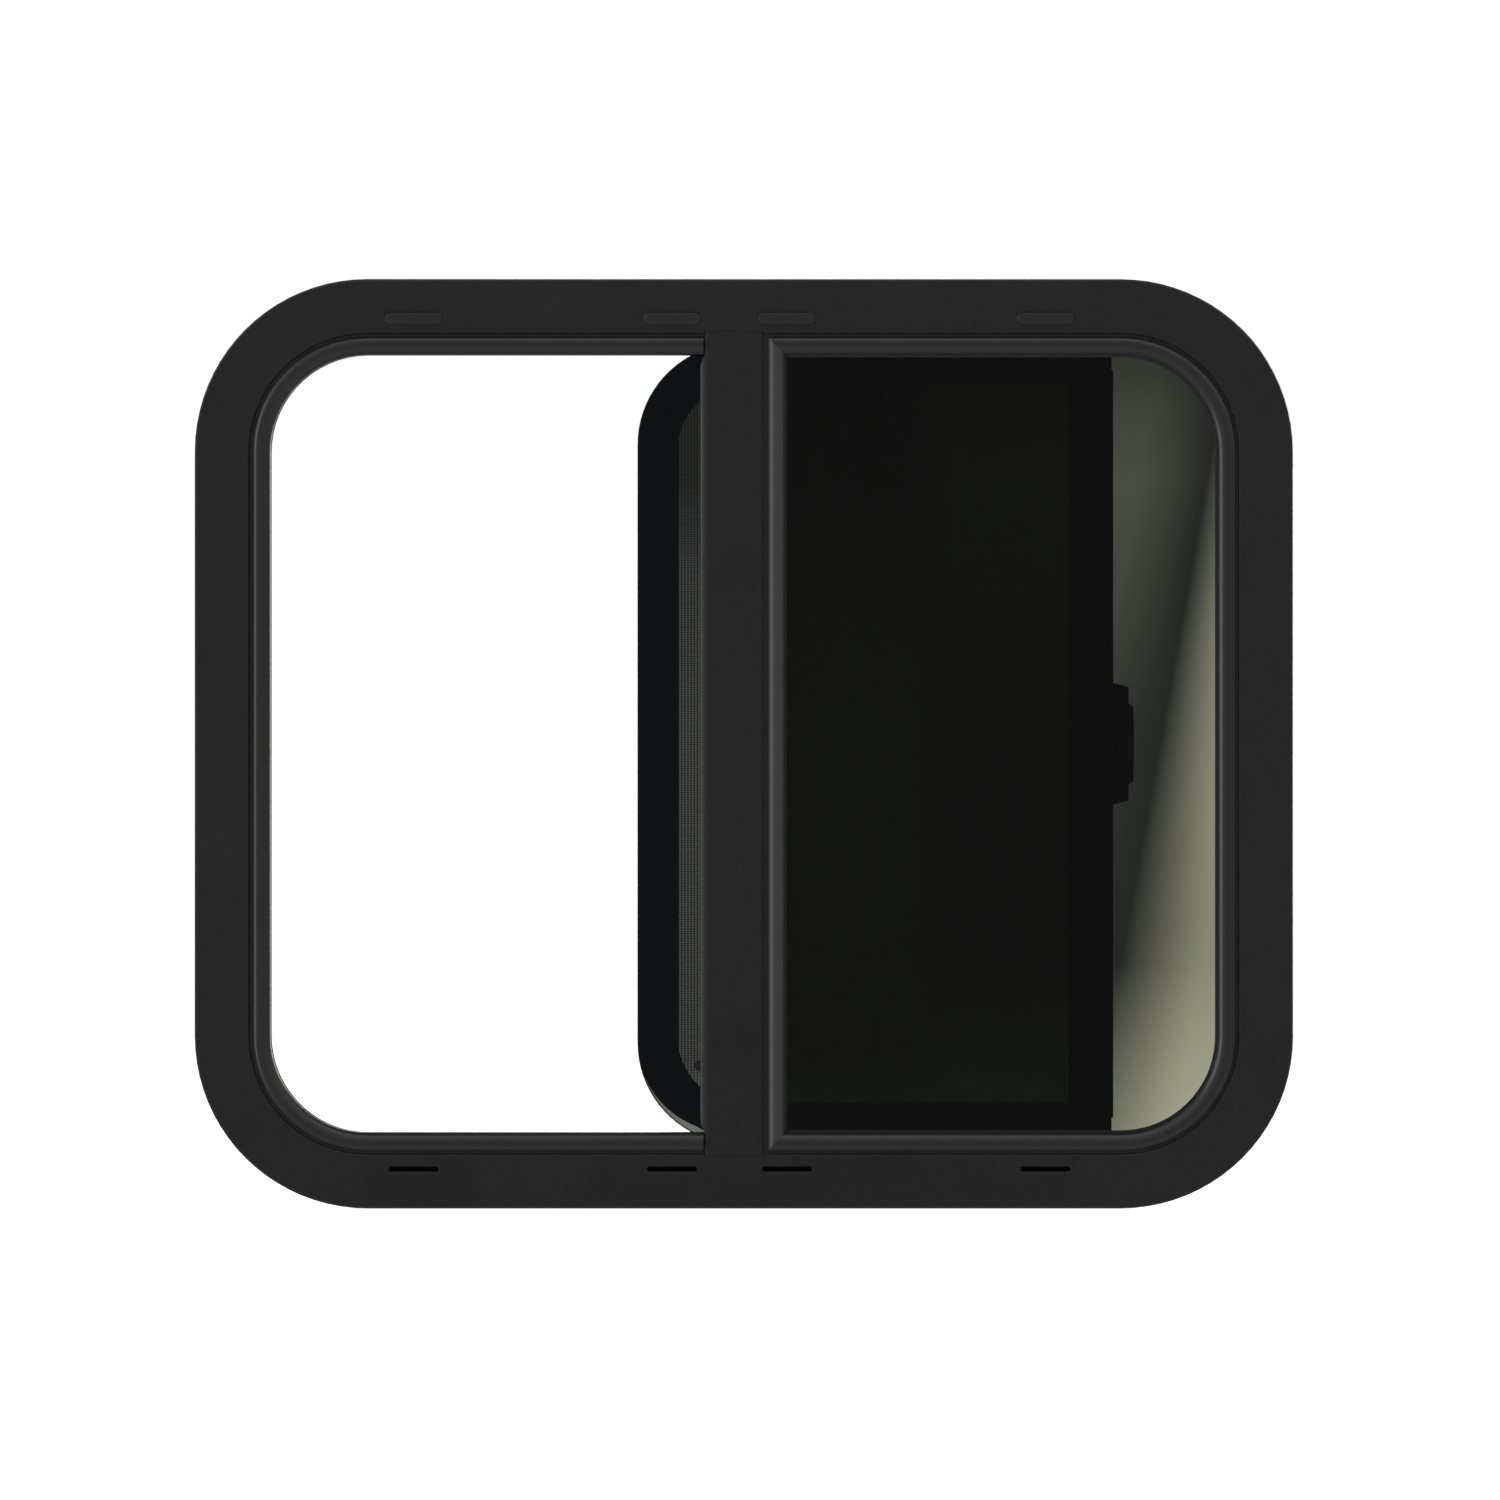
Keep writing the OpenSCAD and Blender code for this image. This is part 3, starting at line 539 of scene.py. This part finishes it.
tinted_glass, place, shader = finish("tinted_glass", Base_Color=glass_tint, Transmission_Weight=1.0, IOR=1.5)
(noise(place, smear_scale, 3) * smear_roughness + glass_roughness).feed(shader, "Roughness")
roughen(noise(place, roller_wave_scale, 1), shader, roller_wave_depth)

rubber, place, shader = finish("black_rubber", Specular_IOR_Level=0.35)
bloom = noise(place, bloom_scale, 4)
blend_colours(bloom, rubber_black, rubber_bloom).feed(shader, "Base Color")
(bloom * bloom_roughness + rubber_roughness).feed(shader, "Roughness")
roughen(noise(place, skin_scale, 2), shader, skin_depth)

coat(tinted_glass, "fixed_glass")
coat(rubber, "fixed_glass_gasket", "fixed_glass_wedge")

# Plastic tracks in the middle channel guide the sliding pane, rubber stops end its travel and a rubber
# seal waits for its leading edge in the left channel.
coat(moulded_plastic, "top_track", "bottom_track")
coat(rubber, "track_stop_top", "track_stop_bottom", "jamb_seal")

# The sliding pane is toughened glass like the fixed one, with its edges ground dull and darkened near black
# as painted shade, a black ceramic border fired onto its inner face and a slim painted profile on its
# trailing edge. It runs on white nylon glides.
# Its index is set above the fixed pane's, so that it mirrors the room more strongly.
pane_corner_r = 60 * MM
ground_and_shaded_edge_w = 0.9 * MM
ground_and_shaded_edge_sharp_w = 0.8 * ground_and_shaded_edge_w
painted_edge_shade_grey = (0.0008, 0.0008, 0.0008, 1)
ground_roughness = 0.25

edged_glass, place, shader = finish("tinted_glass_ground_and_shaded_edge", Transmission_Weight=1.0, IOR=1.7,
                                    Specular_Tint=(0.8, 1, 1.05, 1))
pane_low, pane_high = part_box("sash_glass")
from_middle = place.maths("ABSOLUTE", place.part("Z"), 0)
past_x = place.maths("MAXIMUM", (pane_low.x + pane_corner_r) - place.part("X"), 0)
past_z = place.maths("MAXIMUM", from_middle - (pane_high.z - pane_corner_r), 0)
to_edge = pane_corner_r - place.maths("POWER", past_x * past_x + past_z * past_z, 0.5)
# Painted shade: the glass turns near black in a thin band along the pane's left edge and round corners.
inside_edge = place.slope(to_edge, ground_and_shaded_edge_sharp_w, ground_and_shaded_edge_w, 0, 1)
blend_colours(inside_edge, painted_edge_shade_grey, glass_tint).feed(shader, "Base Color")
smeared = noise(place, smear_scale, 3) * smear_roughness + (glass_roughness + ground_roughness)
(smeared - inside_edge * ground_roughness).feed(shader, "Roughness")
roughen(noise(place, roller_wave_scale, 1), shader, roller_wave_depth)

frit_black = (0.006, 0.008, 0.0085, 1)
frit_grey = (0.010, 0.013, 0.014, 1)
frit_roughness = 0.24
speckle_scale = 1500
speckle_roughness = 0.12
speckle_depth = 0.008 * MM

ceramic_print, place, shader = finish("black_ceramic_print", Specular_IOR_Level=0.5)
speckle = noise(place, speckle_scale, 2)
blend_colours(speckle, frit_black, frit_grey).feed(shader, "Base Color")
(speckle * speckle_roughness + frit_roughness).feed(shader, "Roughness")
roughen(speckle, shader, speckle_depth)

nylon_white = (0.62, 0.61, 0.57, 1)
nylon_worn = (0.74, 0.73, 0.7, 1)
nylon_roughness = 0.3
scuff_scale = 400
scuff_stretch = (0.1, 1, 1)
scuff_roughness = 0.2
scuff_depth = 0.02 * MM

white_nylon, place, shader = finish("white_nylon", Subsurface_Weight=0.1)
scuffs = noise(place, scuff_scale, 3, scuff_stretch)
blend_colours(scuffs, nylon_white, nylon_worn).feed(shader, "Base Color")
(scuffs * scuff_roughness + nylon_roughness).feed(shader, "Roughness")
roughen(scuffs, shader, scuff_depth)

coat(edged_glass, "sash_glass")
coat(ceramic_print, "sash_print")
coat(powder_coat, "sash_stile")
coat(white_nylon, "sash_glide_left", "sash_glide_right")

# The latch is moulded in black polyamide: a base riveted to the trailing profile and a lever that turns
# on a steel pin. Two springs wound from steel wire sit on the pin, in windows of the base, and press the
# lever's hook towards the keeper.
wire_r = 0.4 * MM
coil_r = 1.7 * MM
coil_turns = 5
coil_pitch = 0.86 * MM
coil_steps = 20
spring_z = 19 * MM

coat(moulded_plastic, "latch_base", "latch_lever")
coat(plated_steel, "latch_pin")

pin_low, pin_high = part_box("latch_pin")
pin_x = (pin_low.x + pin_high.x) / 2
pin_y = (pin_low.y + pin_high.y) / 2
springs = []
for side in (-1, 1):
    foot_z = side * spring_z - coil_turns * coil_pitch / 2
    spring = start(bpy.ops.mesh.primitive_circle_add, "latch_spring", vertices=8, radius=wire_r,
                   rotation=(math.radians(90), 0, 0), location=(pin_x + coil_r, pin_y, foot_z))
    bpy.context.scene.cursor.location = (pin_x, pin_y, foot_z)
    bpy.ops.object.origin_set(type="ORIGIN_CURSOR")
    apply(spring, "SCREW", axis="Z", angle=2 * math.pi * coil_turns, screw_offset=coil_pitch * coil_turns,
          steps=coil_steps * coil_turns, render_steps=coil_steps * coil_turns, iterations=1)
    bpy.ops.object.select_all(action="DESELECT")
    spring.select_set(True)
    bpy.ops.object.transform_apply(location=True)
    bpy.ops.object.mode_set(mode="EDIT")
    bpy.ops.mesh.select_all(action="SELECT")
    bpy.ops.mesh.fill_holes(sides=8)
    bpy.ops.mesh.normals_make_consistent(inside=False)
    bpy.ops.object.mode_set(mode="OBJECT")
    bpy.ops.object.shade_smooth()
    springs.append(spring)
bpy.context.scene.cursor.location = (0, 0, 0)
latch_springs = join(*springs)
latch_springs.name = "latch_springs"
mount(latch_springs, plated_steel, "steel", "sash")

base_t = 1.6 * MM
rivet_r = 2.1 * MM
rivet_h = 0.8 * MM
rivet_in = 4.2 * MM
rivet_z = 29.5 * MM

base_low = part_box("latch_base")[0]
rivets = []
for side in (-1, 1):
    rivets.append(start(bpy.ops.mesh.primitive_uv_sphere_add, "latch_rivet", segments=20, ring_count=10,
                        radius=rivet_r, rotation=(0, 0, 0), scale=(1, rivet_h / rivet_r, 1),
                        location=(base_low.x + rivet_in, base_low.y + base_t, side * rivet_z)))
    bpy.ops.object.shade_smooth()
latch_rivets = join(*rivets)
latch_rivets.name = "latch_rivets"
mount(latch_rivets, plated_steel, "steel", "sash")

# The insect screen is a painted aluminium frame with glass-fibre mesh rolled into its groove under a
# rubber spline, white glides, and a finger pull on the room side.
pitch_across = 1.85 * MM
pitch_up = 1.42 * MM
upright_r = 0.34 * MM
thread_r = 0.18 * MM
thread_sides = 6
thread_black = (0.02, 0.02, 0.02, 1)
thread_grey = (0.045, 0.045, 0.045, 1)
thread_roughness = 0.45
twist_scale = 2400
twist_roughness = 0.2
twist_depth = 0.03 * MM
screen_corner_r = 68 * MM
mesh_inset = 12.1 * MM
corner_cuts = 7
cut_tolerance = 0.001 * MM

vinyl_thread, place, shader = finish("vinyl_coated_thread", Specular_IOR_Level=0.4)
twist = noise(place, twist_scale, 1)
blend_colours(twist, thread_black, thread_grey).feed(shader, "Base Color")
(twist * twist_roughness + thread_roughness).feed(shader, "Roughness")
roughen(twist, shader, twist_depth)

low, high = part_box("screen_mesh")
mid = (low + high) / 2
upright = start(bpy.ops.mesh.primitive_cylinder_add, "upright_threads", vertices=thread_sides,
                radius=upright_r, depth=high.z - low.z,
                location=(low.x + upright_r, mid.y - thread_r * 0.4, mid.z))
repeat(upright, int((high.x - low.x - 2 * upright_r) / pitch_across) + 1, (pitch_across, 0, 0))
level = start(bpy.ops.mesh.primitive_cylinder_add, "level_threads", vertices=thread_sides, radius=thread_r,
              depth=high.x - low.x, rotation=(0, math.radians(90), 0),
              location=(mid.x, mid.y + thread_r * 0.6, low.z + thread_r))
repeat(level, int((high.z - low.z - 2 * thread_r) / pitch_up) + 1, (0, 0, pitch_up))
threads = join(upright, level)
threads.name = "screen_threads"

# The woven sheet is cut round at its two leading corners, by short straight cuts along the arc. The cut
# threads are closed at their ends.
corner_r = screen_corner_r - mesh_inset
bpy.ops.object.mode_set(mode="EDIT")
for side in (-1, 1):
    centre_z = side * (high.z - corner_r)
    for cut in range(corner_cuts):
        angle = math.radians(90) * (cut + 0.5) / corner_cuts
        outward = (-math.cos(angle), 0, side * math.sin(angle))
        on_arc = (low.x + corner_r + outward[0] * corner_r, mid.y, centre_z + outward[2] * corner_r)
        bpy.ops.mesh.select_all(action="SELECT")
        bpy.ops.mesh.bisect(plane_co=on_arc, plane_no=outward, clear_outer=True, threshold=cut_tolerance)
bpy.ops.mesh.select_all(action="SELECT")
bpy.ops.mesh.fill_holes(sides=0)
bpy.ops.object.mode_set(mode="OBJECT")
mount(threads, vinyl_thread, "mesh", "screen", "screen_mesh")

coat(powder_coat, "screen_frame")
coat(rubber, "screen_spline")
coat(white_nylon, "screen_glide_left", "screen_glide_right")
coat(moulded_plastic, "screen_pull")

# The trim ring is drawn onto the frame from inside the vehicle and clamps the wall. Sixteen low-headed
# steel screws with cross recesses hold it, countersunk so that only their crowns stand out.
screw_head_r = 3.4 * MM
crown_h = 0.65 * MM
recess_w = 0.9 * MM
recess_l = 3.6 * MM
smooth_to_deg = 40
screw_line = 22 * MM
straight_x = 210 * MM
straight_z = 160 * MM
screws_per_long_side = 5
screws_per_short_side = 3
turn_between_screws = 37

coat(powder_coat, "trim_ring")

head = start(bpy.ops.mesh.primitive_uv_sphere_add, "screw_head", segments=32, ring_count=16,
             radius=screw_head_r, rotation=(math.radians(90), 0, 0), scale=(1, 1, crown_h / screw_head_r),
             location=(0, 0, 0))
for turn in (0, 90):
    recess = start(bpy.ops.mesh.primitive_cube_add, "recess", size=1, scale=(recess_l, 2 * crown_h, recess_w),
                   rotation=(0, math.radians(turn), 0), location=(0, crown_h, 0))
    apply(head, "BOOLEAN", object=recess, operation="DIFFERENCE", solver="EXACT")
    bpy.data.objects.remove(recess)


def take(piece):
    """Makes the piece the only one that is selected."""
    bpy.ops.object.select_all(action="DESELECT")
    piece.select_set(True)
    bpy.context.view_layer.objects.active = piece


take(head)
bpy.ops.object.mode_set(mode="EDIT")
bpy.ops.mesh.select_all(action="SELECT")
bpy.ops.mesh.bisect(plane_co=(0, -crown_h / 4, 0), plane_no=(0, -1, 0), clear_outer=True, use_fill=True,
                    threshold=cut_tolerance)
bpy.ops.object.mode_set(mode="OBJECT")
bpy.ops.object.shade_smooth_by_angle(angle=math.radians(smooth_to_deg))

ring_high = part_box("trim_ring")[1]
long_x = ring_high.x - screw_line
long_z = ring_high.z - screw_line
places = []
for step in range(screws_per_long_side):
    x = straight_x * (2 * step / (screws_per_long_side - 1) - 1)
    places += [(x, long_z), (x, -long_z)]
for step in range(screws_per_short_side):
    z = straight_z * (2 * step / (screws_per_short_side - 1) - 1)
    places += [(long_x, z), (-long_x, z)]
screws = []
for x, z in places:
    take(head)
    bpy.ops.object.duplicate()
    screw = bpy.context.object
    bpy.ops.transform.rotate(value=turn_between_screws * len(screws), orient_axis="Y",
                             center_override=(0, 0, 0))
    screw.location = (x, ring_high.y, z)
    bpy.ops.object.transform_apply(location=True, rotation=True, scale=True)
    screws.append(screw)
bpy.data.objects.remove(head)
trim_screws = join(*screws)
trim_screws.name = "trim_screws"
mount(trim_screws, plated_steel, "steel", "frame")

low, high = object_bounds()
